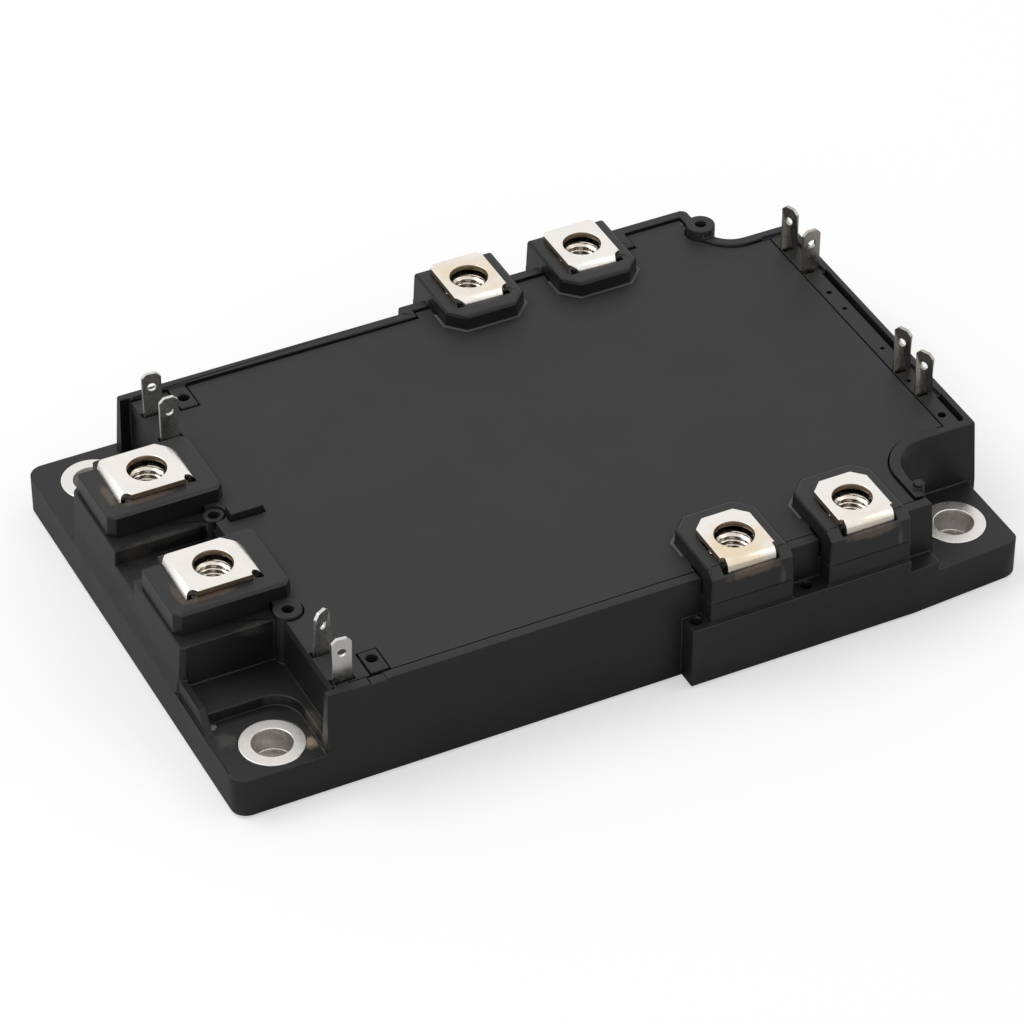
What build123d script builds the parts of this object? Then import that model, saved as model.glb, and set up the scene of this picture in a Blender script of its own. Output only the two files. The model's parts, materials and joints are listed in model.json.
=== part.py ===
from build123d import *
import math
import os

# IGBT power module with six screw terminals and eight push-on tabs.
# Millimetres. +Z up, X along the long side, origin under the middle of the footprint at the mounting face.

# Housing outline
LENGTH = 117.8
WIDTH = 79.8
NARROW_FRONT = 37.0
NARROW_BACK = 36.0
STEP_FRONT_X = 6.1
STEP_BACK_X = -1.9
FLANGE_RIGHT_INSET = 1.3
FLANGE_CORNER_R = 2.2
DRAFT = 2.5
BODY_CORNER_R = 1.5
LAP = 1.0

# Heights above the mounting face
HOUSING_BOTTOM = 0.4
FLANGE_TOP = 6.5
LEDGE_TOP = 10.0
PLATFORM_TOP = 14.8
GROOVE_FLOOR = 12.5
RIM_TOP = 16.2
LID_DROP = 0.4
CAP_TOP = 18.2
CAP_PARTING = 13.2

# Upper body where it leaves the flange
BACK_WALL_Y = 34.4
BACK_MID_Y = 35.85
BACK_WIDE_Y = 39.2
BACK_STEP_X = 33.75
LEFT_WALL_X = -44.25
FIN_LENGTH = 1.6
FIN_WIDTH = 1.9
WALL = 3.0
RIM_WIDTH = 1.7

# Planes where the moulding is divided into simple blocks
LEFT_CUT_X = -35.5
RIGHT_CUT_X = 40.5

# Corner recesses over the mounting holes
FRONT_RECESS_X = 44.75
FRONT_RECESS_Y = -24.45
FRONT_RECESS_R = 5.0
BACK_RECESS_X = 46.85
BACK_RECESS_Y = 29.25
BACK_RECESS_R = 4.0
LEDGE_RIGHT_X = 44.3

# Left terminal platform
PLATFORM_TOP_X = -58.2
PLATFORM_FRONT = -18.2
PLATFORM_BACK = 20.8
PLATFORM_PARTING = 9.4
PLATFORM_PARTING_X = -58.5
PLATFORM_FRONT_R = 1.5
PLATFORM_BACK_CUT = 2.8
GROOVE_FRONT = -2.3
GROOVE_BACK = 4.0
FOOT_STEP_HEIGHT = 1.7
FOOT_STEP_Y = -24.5
SIDE_WEB_WIDTH = 1.0
SIDE_WEB_TOP = 9.2
SIDE_WEB_FOOT_Y = -26.3
FOOT_STEP_X = -45.6
FOOT_STEP_R = 4.0
RIB_LEFT_X = -42.0
RIB_RIGHT_X = -37.2
RIB_WIDTH = 2.1
RIB_MID_Y = 3.2
RIB_TOP = 16.9
BOSS_X = -43.6
BOSS_Y = 4.5
BOSS_R = 1.5

# Posts and lugs with pin holes
POST_LEFT_X = -42.9
POST_LEFT_Y = -18.3
POST_LEFT_R = 2.0
POST_BACK_X = 46.0
POST_BACK_Y = 33.0
POST_BACK_R = 2.1
POST_BACK_TOP = 17.4
PIN_HOLE_R = 0.8
PIN_HOLE_DEPTH = 3.0
LUG_LEFT_X = -38.4
LUG_WIDTH = 2.6
LUG_FRONT_Y = -30.4
LUG_BACK_Y = 27.6
LUG_FRONT_HOLE_Y = -32.0
LUG_BACK_HOLE_Y = 29.9
LUG_FLOOR = 11.0
LUG_PROUD = 0.2
RIM_BREAK_X = -39.2
RIM_BREAK_WIDTH = 2.2
LEDGE_HOLE_Y = -37.9
LEDGE_HOLE_X = [7.6, 24.3]
LEDGE_END_TOP = 8.0

# Mounting holes
MOUNT_X = 51.3
MOUNT_FRONT_Y = -31.5
MOUNT_BACK_LEFT_Y = 29.8
MOUNT_BACK_RIGHT_Y = 34.3
MOUNT_HOLE_R = 2.75
BUSHING_R = 4.5
BUSHING_PROUD = 0.05

# Baseplate
BASE_THICKNESS = 3.0
BASE_INSET = 0.8
BASE_GAP = 0.15
BASE_CORNER_R = 2.4

# Lid
LID_THICKNESS = 1.6
LID_GAP = 0.25
LID_RIGHT_X = 54.2
LID_LEFT_X = -44.0
SHELF_X = 53.2
SHELF_BOTTOM = 11.0
STRIP_RIGHT_X = 57.4

# Power terminals, hole centres
TERMINAL_LEFT_X = -49.2
TERMINAL_LEFT_Y = [13.9, -8.6]
TERMINAL_BACK_X = [9.1, 27.2]
TERMINAL_BACK_Y = 34.2
TERMINAL_FRONT_X = [15.3, 33.3]
TERMINAL_FRONT_Y = -33.8
SHEET = 0.9
BEND_R = 0.4
SCREW_HOLE_R = 2.75
PLATE_FREE = 4.9
PLATE_BEND = 5.0
PLATE_WIDTH = 8.2
PLATE_CHAMFER = 1.7
PLATE_BACK_CHAMFER = 0.7
PLATE_LEFT_OUT = 5.9
PLATE_LEFT_IN = 5.4
PLATE_LEFT_OUT_CUT = 0.8
PLATE_LEFT_IN_CUT = 2.4
PLATE_LEFT_WIDTH = 9.0
BEND_DEPTH = 2.4
CORNER_CUT_DEPTH = 2.0
LEG_WIDTH = 6.0
LEG_RUN_TOP = 11.05
FOOT_LENGTH = 3.0
LEFT_DROP_X = -37.0
FRONT_DROP_Y = -29.5

# Terminal caps
CAP_HALF = 6.3
CAP_INNER = 7.8
CAP_CORNER = 2.4
CAP_EDGE = 0.35
CAP_DRAFT = 2.0
CAP_FRONT_SETBACK = 0.5
CAP_SLOPE_LENGTH = 1.6
CAP_SLOPE_DROP = 1.2
CAP_BACK_SLOPE_LENGTH = 0.6
CAP_BACK_SLOPE_DROP = 0.8
CAP_LEFT_OUT = 8.6
CAP_LEFT_IN = 8.4
CAP_LEFT_FRONT = 7.2
CAP_LEFT_BACK = 6.0
CAP_LEFT_STEP_X = 2.9
CAP_LEFT_STEP_Y = 1.6
CAP_LEFT_BEVEL = 1.0
PLUG_BOTTOM = 11.2
PLUG_HALF = 5.4
PLUG_OUT = 5.3
PLUG_LEFT_OUT = 5.2
PLUG_LEFT_IN = 6.2
PLUG_GAP = 0.15
SEAT_GAP = 0.1
SEAT_PAST_WALL = 0.5

# Hex nuts, M5
NUT_AF = 8.0
NUT_HEIGHT = 4.0
NUT_BORE_R = 2.1
NUT_GAP = 0.15
SCREW_CLEAR_FLOOR = 12.0

# Push-on tabs, 2.8 x 0.5
TAB_WIDTH = 2.8
TAB_THICKNESS = 0.5
TAB_HEIGHT = 7.0
TAB_HOLE_R = 0.6
TAB_HOLE_DROP = 2.3
TAB_TIP = 0.7
TAB_LEFT_X = -42.2
TAB_RIGHT_X = 55.8
TAB_LEFT_Y = [-34.0, -27.9, 22.6, 28.7]
TAB_RIGHT_Y = [-14.4, -8.4, 17.9, 24.1]
TAB_FOOT = 3.4
TAB_SLOT_GAP = 0.35
TAB_REACH_LEFT = -36.2
TAB_REACH_RIGHT = 38.2

# Substrates and chips
SUBSTRATE_LENGTH = 39.5
SUBSTRATE_WIDTH = 62.0
SUBSTRATE_GAP = 1.0
SUBSTRATE_MID_X = 0.8
SUBSTRATE_MID_Y = -1.5
CERAMIC = 0.6
COPPER = 0.3
COPPER_MARGIN = 0.7
TRACK_SLOT = 1.0
TRACK_BRIDGE = 6.0
CHIP = 0.2
IGBT_SIDE = 10.0
DIODE_SIDE = 7.0
CHIP_PITCH = 11.0
CHIP_ROWS = 4
IGBT_X = -5.0
DIODE_X = 5.5
WIRE_END_X = 13.0
GEL_TOP = 9.0
WIRE = 0.5
WIRE_RISE = 1.8
WIRE_LEAN = 0.25
IGBT_PAD = 1.0
DIODE_PAD = 1.2
THERMISTOR_X = 35.5
THERMISTOR_LENGTH = 3.2
THERMISTOR_WIDTH = 1.6
THERMISTOR_HEIGHT = 1.1

HALF_L = LENGTH / 2
HALF_W = WIDTH / 2
SUBSTRATE_PITCH = SUBSTRATE_LENGTH + SUBSTRATE_GAP
FLANGE_RIGHT = HALF_L - FLANGE_RIGHT_INSET
LID_TOP = RIM_TOP - LID_DROP
LUG_TOP = LID_TOP + LUG_PROUD
LID_BOTTOM = LID_TOP - LID_THICKNESS
CERAMIC_BOTTOM = BASE_THICKNESS + COPPER
TRACK_BOTTOM = CERAMIC_BOTTOM + CERAMIC
TRACK_TOP = TRACK_BOTTOM + COPPER
CHIP_TOP = TRACK_TOP + CHIP
NUT_FLOOR = CAP_TOP - NUT_GAP - NUT_HEIGHT
MOUNT_HOLES = [
    ("front_left", -MOUNT_X, MOUNT_FRONT_Y),
    ("front_right", MOUNT_X, MOUNT_FRONT_Y),
    ("back_left", -MOUNT_X, MOUNT_BACK_LEFT_Y),
    ("back_right", MOUNT_X, MOUNT_BACK_RIGHT_Y),
]


def outline(points):
    """A closed flat face through corner points."""
    return make_face(Polyline(*points, close=True))


def rounded(face, corners):
    """The face with each named corner (x, y, radius) rounded."""
    for x, y, radius in corners:
        corner = face.vertices().sort_by_distance(Vector(x, y, 0))[0]
        face = fillet(corner, radius)
    return face


def prism(face, low, high, taper=0.0):
    """A flat face raised from one height to another; a taper draws it in towards the top."""
    return extrude(Pos(0, 0, low) * face, amount=high - low, taper=taper)


def span(x0, x1, y0, y1, low, high):
    """A rectangular block between two corners."""
    return Pos((x0 + x1) / 2, (y0 + y1) / 2, (low + high) / 2) * Box(x1 - x0, y1 - y0, high - low)


def rod(x, y, radius, low, high):
    """An upright round bar."""
    return Pos(x, y, (low + high) / 2) * Cylinder(radius, high - low)


def flange_outline(inset, corner_r):
    """The footprint of the housing, drawn in by an inset."""
    left = -HALF_L + inset
    right = FLANGE_RIGHT - inset
    bulge = HALF_L - inset
    front = -HALF_W + inset
    back = HALF_W - inset
    narrow_front = -NARROW_FRONT + inset
    narrow_back = NARROW_BACK - inset
    step_front = STEP_FRONT_X + inset
    step_back = STEP_BACK_X + inset
    bulge_front = FRONT_RECESS_Y + inset
    bulge_back = BACK_RECESS_Y - inset
    face = outline([
        (left, narrow_front), (step_front, narrow_front), (step_front, front), (right, front),
        (right, bulge_front), (bulge, bulge_front), (bulge, bulge_back), (right, bulge_back),
        (right, back), (step_back, back), (step_back, narrow_back), (left, narrow_back),
    ])
    corners = [(left, narrow_front), (right, front), (right, back), (left, narrow_back)]
    return rounded(face, [(x, y, corner_r) for x, y in corners])


def body_outline():
    """The upper walls where they leave the flange, with the two fins on the left."""
    fin = LEFT_WALL_X - FIN_LENGTH
    face = outline([
        (fin, -NARROW_FRONT), (FRONT_RECESS_X, -NARROW_FRONT), (FRONT_RECESS_X, FRONT_RECESS_Y),
        (HALF_L, FRONT_RECESS_Y), (HALF_L, BACK_RECESS_Y), (BACK_RECESS_X, BACK_RECESS_Y),
        (BACK_RECESS_X, BACK_WIDE_Y), (BACK_STEP_X, BACK_WIDE_Y), (BACK_STEP_X, BACK_MID_Y),
        (STEP_BACK_X, BACK_MID_Y), (STEP_BACK_X, BACK_WALL_Y),
        (fin, BACK_WALL_Y), (fin, BACK_WALL_Y - FIN_WIDTH), (LEFT_WALL_X, BACK_WALL_Y - FIN_WIDTH),
        (LEFT_WALL_X, -NARROW_FRONT + FIN_WIDTH), (fin, -NARROW_FRONT + FIN_WIDTH),
    ])
    return rounded(face, [
        (FRONT_RECESS_X, FRONT_RECESS_Y, FRONT_RECESS_R),
        (BACK_RECESS_X, BACK_RECESS_Y, BACK_RECESS_R),
        (BACK_RECESS_X, BACK_WIDE_Y, BODY_CORNER_R),
    ])


def inner_outline(gap, left, right):
    """The inside of the walls at a gap from their outer faces, between a left and a right edge."""
    front = -NARROW_FRONT + gap
    back = BACK_WALL_Y - gap
    wide = BACK_WIDE_Y - gap
    middle = BACK_MID_Y - gap
    step = BACK_STEP_X + gap
    middle_x = STEP_BACK_X + gap
    front_x = FRONT_RECESS_X - gap
    front_y = FRONT_RECESS_Y + gap
    back_x = BACK_RECESS_X - gap
    back_y = BACK_RECESS_Y - gap
    face = outline([
        (left, front), (front_x, front), (front_x, front_y), (right, front_y), (right, back_y),
        (back_x, back_y), (back_x, wide), (step, wide), (step, middle), (middle_x, middle),
        (middle_x, back), (left, back),
    ])
    return rounded(face, [
        (front_x, front_y, FRONT_RECESS_R + gap),
        (back_x, back_y, BACK_RECESS_R + gap),
    ])


def cavity():
    """The space inside the walls, under the lid."""
    face = inner_outline(WALL, LEFT_WALL_X + WALL, HALF_L - WALL)
    room = prism(face, BASE_THICKNESS, LID_BOTTOM)
    return room - span(SHELF_X, HALF_L, -HALF_W, HALF_W, SHELF_BOTTOM, LID_BOTTOM)


def lid_outline(gap):
    """The lid seen from above, smaller by a gap than its seat in the rim."""
    rim = RIM_WIDTH + LID_GAP
    return inner_outline(rim + gap, LID_LEFT_X - LID_GAP + gap, LID_RIGHT_X + LID_GAP - gap)


def left_platform():
    """The block that carries the two left terminals, its outer side leaning in above the flange."""
    side = outline([
        (LEFT_WALL_X + LAP, FLANGE_TOP - LAP), (-HALF_L, FLANGE_TOP - LAP), (-HALF_L, FLANGE_TOP),
        (PLATFORM_PARTING_X, PLATFORM_PARTING), (PLATFORM_TOP_X, PLATFORM_TOP),
        (LEFT_WALL_X + LAP, PLATFORM_TOP),
    ])
    block = extrude(Plane.XZ.offset(-PLATFORM_BACK) * side, amount=PLATFORM_BACK - PLATFORM_FRONT)
    foot = outline([
        (LEFT_WALL_X + LAP, PLATFORM_FRONT), (-HALF_L, PLATFORM_FRONT),
        (-HALF_L, PLATFORM_BACK - PLATFORM_BACK_CUT), (-HALF_L + PLATFORM_BACK_CUT, PLATFORM_BACK),
        (LEFT_WALL_X + LAP, PLATFORM_BACK),
    ])
    foot = rounded(foot, [(-HALF_L, PLATFORM_FRONT, PLATFORM_FRONT_R)])
    block &= prism(foot, FLANGE_TOP - LAP, PLATFORM_TOP)
    block -= span(-HALF_L, LEFT_WALL_X, GROOVE_FRONT, GROOVE_BACK, GROOVE_FLOOR, PLATFORM_TOP)
    return block


def foot_step():
    """The low step round the foot of the recess beside the front left hole."""
    face = outline([
        (-HALF_L + LAP, PLATFORM_FRONT + LAP), (-HALF_L + LAP, FOOT_STEP_Y), (FOOT_STEP_X, FOOT_STEP_Y),
        (FOOT_STEP_X, -NARROW_FRONT + LAP), (LEFT_WALL_X + LAP, -NARROW_FRONT + LAP),
        (LEFT_WALL_X + LAP, PLATFORM_FRONT + LAP),
    ])
    face = rounded(face, [(FOOT_STEP_X, FOOT_STEP_Y, FOOT_STEP_R)])
    step = prism(face, FLANGE_TOP - LAP, FLANGE_TOP + FOOT_STEP_HEIGHT)
    side = outline([
        (PLATFORM_FRONT + LAP, FLANGE_TOP - LAP), (PLATFORM_FRONT + LAP, SIDE_WEB_TOP),
        (FOOT_STEP_Y, SIDE_WEB_TOP), (SIDE_WEB_FOOT_Y, FLANGE_TOP), (SIDE_WEB_FOOT_Y, FLANGE_TOP - LAP),
    ])
    return step + extrude(Plane.YZ.offset(PLATFORM_PARTING_X) * side, amount=SIDE_WEB_WIDTH)


def pin_posts(low, left_top, back_top):
    """The two round posts at the walls, up to a given height each."""
    posts = rod(POST_LEFT_X, POST_LEFT_Y, POST_LEFT_R, low, left_top)
    posts += rod(POST_BACK_X, POST_BACK_Y, POST_BACK_R, low, back_top)
    return posts


def lug_blocks(gap):
    """The two screw lugs that reach in under the rim, grown by a gap."""
    left = LUG_LEFT_X - gap
    right = LUG_LEFT_X + LUG_WIDTH + gap
    blocks = span(left, right, -NARROW_FRONT + LAP, LUG_FRONT_Y + gap, LUG_FLOOR, LUG_TOP)
    blocks += span(left, right, LUG_BACK_Y - gap, BACK_WALL_Y - LAP, LUG_FLOOR, LUG_TOP)
    return blocks


def rib_block(gap):
    """The barrier rib between the two left terminals and the boss at its foot, grown by a gap."""
    rib = span(
        RIB_LEFT_X - gap, RIB_RIGHT_X + gap, RIB_MID_Y - RIB_WIDTH / 2 - gap,
        RIB_MID_Y + RIB_WIDTH / 2 + gap, LUG_FLOOR, RIB_TOP,
    )
    return rib + rod(BOSS_X, BOSS_Y, BOSS_R + gap, LUG_FLOOR, LID_TOP)


def cap_seats():
    """The space the six caps and their plugs take out of the frame."""
    room = Part()
    half = CAP_HALF + SEAT_GAP
    plug = PLUG_HALF + PLUG_GAP
    reach = PLUG_OUT + PLUG_GAP
    depth = WALL + SEAT_PAST_WALL
    for x in TERMINAL_FRONT_X:
        room += span(x - half, x + half, -HALF_W - LAP, -NARROW_FRONT + depth, CAP_PARTING, CAP_TOP)
        room += span(
            x - plug, x + plug, TERMINAL_FRONT_Y - reach, TERMINAL_FRONT_Y + reach, PLUG_BOTTOM, CAP_TOP,
        )
    for x in TERMINAL_BACK_X:
        room += span(x - half, x + half, BACK_WALL_Y - depth, HALF_W + LAP, CAP_PARTING, CAP_TOP)
        room += span(
            x - plug, x + plug, TERMINAL_BACK_Y - reach, TERMINAL_BACK_Y + reach, PLUG_BOTTOM, CAP_TOP,
        )
    for y in TERMINAL_LEFT_Y:
        room += span(
            TERMINAL_LEFT_X - PLUG_LEFT_OUT - PLUG_GAP, TERMINAL_LEFT_X + PLUG_LEFT_IN + PLUG_GAP,
            y - plug, y + plug, PLUG_BOTTOM, CAP_TOP,
        )
    return room


def pin_holes():
    """The blind pin holes in the posts, lugs, boss and front ledge."""
    spots = [
        (POST_LEFT_X, POST_LEFT_Y, RIM_TOP), (POST_BACK_X, POST_BACK_Y, POST_BACK_TOP),
        (LUG_LEFT_X + LUG_WIDTH / 2, LUG_FRONT_HOLE_Y, LUG_TOP),
        (LUG_LEFT_X + LUG_WIDTH / 2, LUG_BACK_HOLE_Y, LUG_TOP),
        (BOSS_X, BOSS_Y, LID_TOP),
    ]
    for x in LEDGE_HOLE_X:
        spots.append((x, LEDGE_HOLE_Y, LEDGE_TOP))
    holes = Part()
    for x, y, top in spots:
        holes += rod(x, y, PIN_HOLE_R, top - PIN_HOLE_DEPTH, top + LAP)
    return holes


def housing(inserts):
    """The moulding: flange, walls, ledges, platform, posts and lugs, moulded round the inserts."""
    frame = prism(flange_outline(0.0, FLANGE_CORNER_R), HOUSING_BOTTOM, FLANGE_TOP)
    frame += prism(body_outline(), FLANGE_TOP, RIM_TOP, DRAFT)
    ledge_end = TERMINAL_FRONT_X[-1] + CAP_HALF
    front_in = -NARROW_FRONT + LAP
    back_in = BACK_WALL_Y - LAP
    frame += span(STEP_FRONT_X, ledge_end, -HALF_W, front_in, FLANGE_TOP - LAP, LEDGE_TOP)
    frame += span(ledge_end, LEDGE_RIGHT_X, -HALF_W, front_in, FLANGE_TOP - LAP, LEDGE_END_TOP)
    frame += span(STEP_BACK_X, BACK_RECESS_X, back_in, HALF_W, FLANGE_TOP - LAP, LEDGE_TOP)
    for x in TERMINAL_FRONT_X:
        frame += span(
            x - CAP_HALF, x + CAP_HALF, -HALF_W + CAP_FRONT_SETBACK, front_in, FLANGE_TOP, CAP_PARTING,
        )
    for x in TERMINAL_BACK_X:
        frame += span(x - CAP_HALF, x + CAP_HALF, back_in, HALF_W, FLANGE_TOP, CAP_PARTING)
    frame += left_platform()
    frame += foot_step()
    frame += pin_posts(FLANGE_TOP - LAP, LID_BOTTOM, POST_BACK_TOP)
    frame -= cavity()
    frame -= prism(lid_outline(0.0), LID_BOTTOM, CAP_TOP)
    frame -= span(
        LID_RIGHT_X - LAP, STRIP_RIGHT_X, FRONT_RECESS_Y + RIM_WIDTH, BACK_RECESS_Y - RIM_WIDTH,
        LID_TOP, CAP_TOP,
    )
    frame -= cap_seats()
    frame += lug_blocks(0.0)
    frame += rib_block(0.0)
    frame += pin_posts(SHELF_BOTTOM, RIM_TOP, POST_BACK_TOP)
    frame -= span(
        RIM_BREAK_X, RIM_BREAK_X + RIM_BREAK_WIDTH, -NARROW_FRONT,
        -NARROW_FRONT + RIM_WIDTH + LID_GAP, LID_TOP, CAP_TOP,
    )
    frame -= pin_holes()
    seat = flange_outline(BASE_INSET - BASE_GAP, BASE_CORNER_R + BASE_GAP)
    frame -= prism(seat, 0, BASE_THICKNESS)
    for name, x, y in MOUNT_HOLES:
        frame -= rod(x, y, BUSHING_R, 0, FLANGE_TOP + LAP)
    for insert in inserts:
        frame -= insert
    return frame


def housing_blocks(frame):
    """The moulding divided into simple blocks that meet face to face."""
    top = POST_BACK_TOP + LAP
    left = -HALF_L
    return {
        "housing_flange": frame & span(left, HALF_L, -HALF_W, HALF_W, 0, FLANGE_TOP),
        "housing_left": frame & span(left, LEFT_CUT_X, -HALF_W, HALF_W, FLANGE_TOP, top),
        "housing_front": frame & span(LEFT_CUT_X, STEP_FRONT_X, -HALF_W, 0, FLANGE_TOP, top),
        "housing_front_ledge": frame & span(STEP_FRONT_X, RIGHT_CUT_X, -HALF_W, 0, FLANGE_TOP, top),
        "housing_back": frame & span(LEFT_CUT_X, STEP_BACK_X, 0, HALF_W, FLANGE_TOP, top),
        "housing_back_ledge": frame & span(STEP_BACK_X, RIGHT_CUT_X, 0, HALF_W, FLANGE_TOP, top),
        "housing_right": frame & span(RIGHT_CUT_X, HALF_L, -HALF_W, HALF_W, FLANGE_TOP, top),
    }


def baseplate():
    """The nickel-plated copper plate with its four holes."""
    plate = prism(flange_outline(BASE_INSET, BASE_CORNER_R), 0, BASE_THICKNESS)
    for name, x, y in MOUNT_HOLES:
        plate -= rod(x, y, MOUNT_HOLE_R, -LAP, BASE_THICKNESS + LAP)
    return plate


def bushing(x, y):
    """A plain ring in a corner of the flange."""
    ring = rod(x, y, BUSHING_R, BASE_THICKNESS, FLANGE_TOP + BUSHING_PROUD)
    return ring - rod(x, y, MOUNT_HOLE_R, 0, FLANGE_TOP + LAP)


def lid():
    """The cover plate, notched round the caps, lugs, rib, posts and left tabs."""
    plate = prism(lid_outline(LID_GAP), LID_BOTTOM, LID_TOP)
    plate -= cap_seats()
    plate -= lug_blocks(LID_GAP)
    plate -= rib_block(LID_GAP)
    plate -= rod(POST_LEFT_X, POST_LEFT_Y, POST_LEFT_R + LID_GAP, 0, CAP_TOP)
    plate -= rod(POST_BACK_X, POST_BACK_Y, POST_BACK_R + LID_GAP, 0, CAP_TOP)
    for y in TAB_LEFT_Y:
        half_x = TAB_WIDTH / 2 + TAB_SLOT_GAP
        half_y = TAB_THICKNESS / 2 + TAB_SLOT_GAP
        plate -= span(TAB_LEFT_X - half_x, TAB_LEFT_X + half_x, y - half_y, y + half_y, 0, CAP_TOP)
    return plate.solids().sort_by(SortBy.VOLUME)[-1]


def edge_line(path, shift):
    """A path moved sideways by a shift, its corners mitred."""
    moved = []
    last = len(path) - 1
    for i in range(len(path)):
        point = Vector(*path[i])
        before = point - Vector(*path[i - 1]) if i > 0 else Vector(*path[1]) - point
        after = Vector(*path[i + 1]) - point if i < last else before
        n0 = before.normalized().rotate(Axis.Z, 90)
        n1 = after.normalized().rotate(Axis.Z, 90)
        mitre = (n0 + n1) * (shift / (1 + n0.dot(n1)))
        moved.append(((point + mitre).X, (point + mitre).Y))
    return moved


def strip_profile(path, bends):
    """A bent strip of sheet seen from its edge, along its middle line, with its first bends rounded."""
    above = edge_line(path, SHEET / 2)
    below = edge_line(path, -SHEET / 2)
    corners = []
    for i in range(1, bends + 1):
        before = Vector(*path[i]) - Vector(*path[i - 1])
        after = Vector(*path[i + 1]) - Vector(*path[i])
        left_turn = before.cross(after).Z > 0
        inside = above[i] if left_turn else below[i]
        outside = below[i] if left_turn else above[i]
        corners.append((inside[0], inside[1], BEND_R))
        corners.append((outside[0], outside[1], BEND_R + SHEET))
    return rounded(outline(above + below[::-1]), corners)


def sheet_part(plane, path, bends, width):
    """A bent strip of a given width, centred on its plane."""
    return extrude(plane * strip_profile(path, bends), amount=width / 2, both=True)


def plate_details(blank, chamfers):
    """The screw hole and the cut corners of a terminal at the origin."""
    blank -= rod(0, 0, SCREW_HOLE_R, CAP_TOP - LAP, CAP_TOP + SHEET + LAP)
    for x, y, size in chamfers:
        side = size * math.sqrt(2)
        blank -= Pos(x, y, CAP_TOP) * Rot(0, 0, 45) * Box(side, side, 2 * CORNER_CUT_DEPTH)
    return blank


def left_terminal():
    """Bent down at both ends; the inner end runs on as the leg to the left substrate."""
    mid = CAP_TOP + SHEET / 2
    out_x = -PLATE_LEFT_OUT + SHEET / 2
    in_x = PLATE_LEFT_IN - SHEET / 2
    run = LEG_RUN_TOP - SHEET / 2
    drop = LEFT_DROP_X - TERMINAL_LEFT_X
    foot = TRACK_TOP + SHEET / 2
    top = [(out_x, CAP_TOP - BEND_DEPTH), (out_x, mid), (in_x, mid), (in_x, CAP_TOP - BEND_DEPTH)]
    leg = [(0, mid), (in_x, mid), (in_x, run), (drop, run), (drop, foot), (drop + FOOT_LENGTH, foot)]
    blank = sheet_part(Plane.XZ, top, 2, PLATE_LEFT_WIDTH) + sheet_part(Plane.XZ, leg, 1, LEG_WIDTH)
    edge = PLATE_LEFT_WIDTH / 2
    cuts = [(-PLATE_LEFT_OUT, edge, PLATE_LEFT_OUT_CUT), (PLATE_LEFT_IN, edge, PLATE_LEFT_IN_CUT)]
    return plate_details(blank, cuts)


def front_terminal():
    """Bent down at its outer end; the leg runs inwards under the cap and down to the substrate."""
    mid = CAP_TOP + SHEET / 2
    out_y = -PLATE_BEND + SHEET / 2
    run = LEG_RUN_TOP - SHEET / 2
    drop = FRONT_DROP_Y - TERMINAL_FRONT_Y
    foot = TRACK_TOP + SHEET / 2
    top = [(PLATE_FREE, mid), (out_y, mid), (out_y, CAP_TOP - BEND_DEPTH)]
    leg = [(0, mid), (out_y, mid), (out_y, run), (drop, run), (drop, foot), (drop + FOOT_LENGTH, foot)]
    blank = sheet_part(Plane.YZ, top, 1, PLATE_WIDTH) + sheet_part(Plane.YZ, leg, 1, LEG_WIDTH)
    edge = PLATE_WIDTH / 2
    cuts = [(-edge, PLATE_FREE, PLATE_CHAMFER), (edge, PLATE_FREE, PLATE_CHAMFER)]
    return plate_details(blank, cuts)


def back_terminal():
    """Bent down at its inner end and straight down to the substrate."""
    mid = CAP_TOP + SHEET / 2
    in_y = -PLATE_BEND + SHEET / 2
    foot = TRACK_TOP + SHEET / 2
    top = [(PLATE_FREE, mid), (in_y, mid), (in_y, CAP_TOP - BEND_DEPTH)]
    leg = [(0, mid), (in_y, mid), (in_y, foot), (in_y - FOOT_LENGTH, foot)]
    blank = sheet_part(Plane.YZ, top, 1, PLATE_WIDTH) + sheet_part(Plane.YZ, leg, 1, LEG_WIDTH)
    edge = PLATE_WIDTH / 2
    cuts = [(-edge, PLATE_FREE, PLATE_BACK_CHAMFER), (edge, PLATE_FREE, PLATE_BACK_CHAMFER)]
    return plate_details(blank, cuts)


def nut_room(turn):
    """The pocket for the nut and the clearance hole under it, for a cap at the origin."""
    across = NUT_AF + 2 * NUT_GAP
    hexagon = Rot(0, 0, turn) * RegularPolygon(across / 2, 6, major_radius=False)
    room = prism(hexagon, NUT_FLOOR, CAP_TOP + LAP)
    return room + rod(0, 0, SCREW_HOLE_R, SCREW_CLEAR_FLOOR, CAP_TOP)


def cap_block(face, low):
    """The upper part of a cap, drafted and with its top edges broken."""
    block = prism(face, low, CAP_TOP, CAP_DRAFT)
    return chamfer(block.faces().sort_by(Axis.Z)[-1].edges(), CAP_EDGE)


def side_cap(outer, slope_length, slope_drop, lid_edge, terminal):
    """A cap over the front or back rim, its outer end towards -Y; the plug holds the nut."""
    inner = CAP_INNER
    face = outline([
        (-CAP_HALF, outer), (CAP_HALF, outer), (CAP_HALF, inner - CAP_CORNER),
        (CAP_HALF - CAP_CORNER, inner), (-CAP_HALF + CAP_CORNER, inner), (-CAP_HALF, inner - CAP_CORNER),
    ])
    cap = cap_block(face, CAP_PARTING)
    slope = outline([
        (outer + slope_length, CAP_TOP), (outer - LAP, CAP_TOP - slope_drop * (1 + LAP / slope_length)),
        (outer - LAP, CAP_TOP + LAP), (outer + slope_length, CAP_TOP + LAP),
    ])
    cap -= extrude(Plane.YZ * slope, amount=CAP_HALF + LAP, both=True)
    cap -= span(-CAP_HALF, CAP_HALF, lid_edge, inner + LAP, CAP_PARTING, LID_TOP)
    cap += span(-PLUG_HALF, PLUG_HALF, -PLUG_OUT, PLUG_OUT, PLUG_BOTTOM, LID_TOP + LAP)
    cap -= nut_room(0)
    return cap - terminal


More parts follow.
